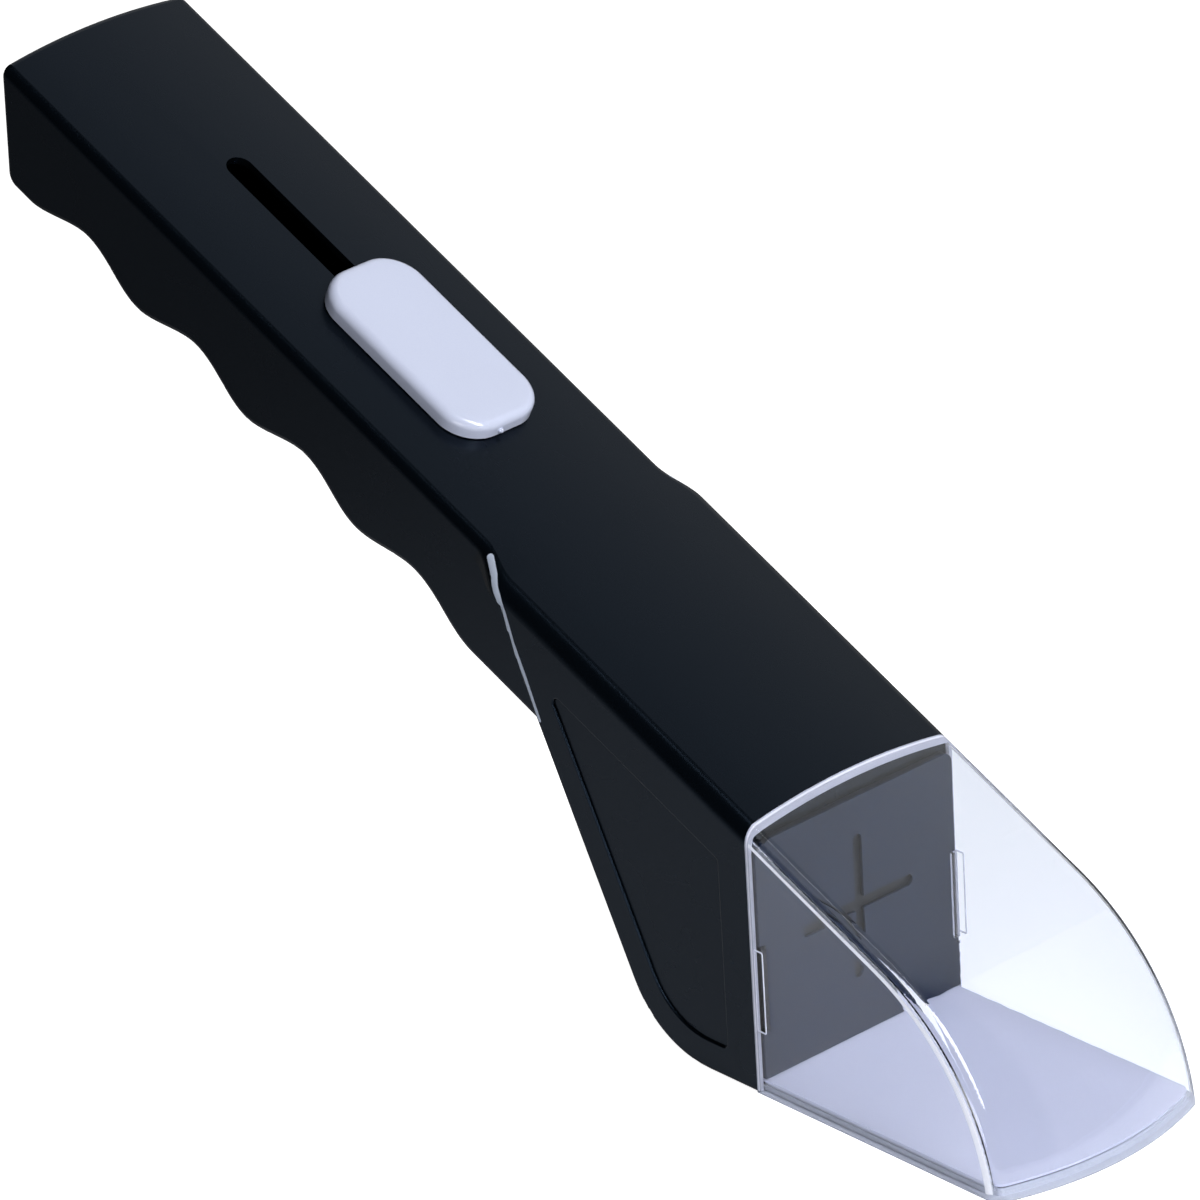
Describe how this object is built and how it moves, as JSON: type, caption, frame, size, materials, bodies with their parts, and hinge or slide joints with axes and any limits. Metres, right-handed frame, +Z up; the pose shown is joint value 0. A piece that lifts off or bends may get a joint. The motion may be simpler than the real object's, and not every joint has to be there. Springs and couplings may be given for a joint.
{
  "type": "insect trap",
  "caption": "Hand-held insect catcher: long wavy grip, wide head and a clear chamber whose open mouth is shut by a thin flexible sheet on a thumb slider.",
  "frame": {"origin": "on the mouth's plane, in the middle of the flat strip of the lower housing just behind the clear chamber", "axes": "+X forward to the chamber's nose, +Z up from the mouth's plane, +Y to the left; the grip rises backwards along -X"},
  "size_m": [0.255, 0.052, 0.1358],
  "materials": {
    "housing": "satin moulded plastic, black with a blue cast",
    "clear_cover": "clear polished plastic with a faint lavender tint",
    "wall": "dark slate satin plastic",
    "inner_plastic": "plain moulded plastic",
    "button": "glossy pale bluish white",
    "sheet": "smooth pale lavender flexible sheet",
    "screw_steel": "plain steel"
  },
  "bodies": {
    "housing": {"top_shell": "housing", "bottom_shell": "housing", "chamber_cover": "clear_cover", "rear_wall": "wall", "left_sheet_track": "inner_plastic", "right_sheet_track": "inner_plastic", "shell_screws": "screw_steel"},
    "slider": {"slide_button": "button", "slide_carriage": "inner_plastic", "sheet_clamp": "inner_plastic", "clamp_screws": "screw_steel", "button_screw": "screw_steel", "closing_sheet": "sheet"}
  },
  "joints": [
    {"name": "sheet_slide", "type": "slide", "parent": "housing", "child": "slider", "axis": [-0.9143, 0, 0.4051], "range_m": [0, 0.057], "deforming": ["closing_sheet"]}
  ]
}
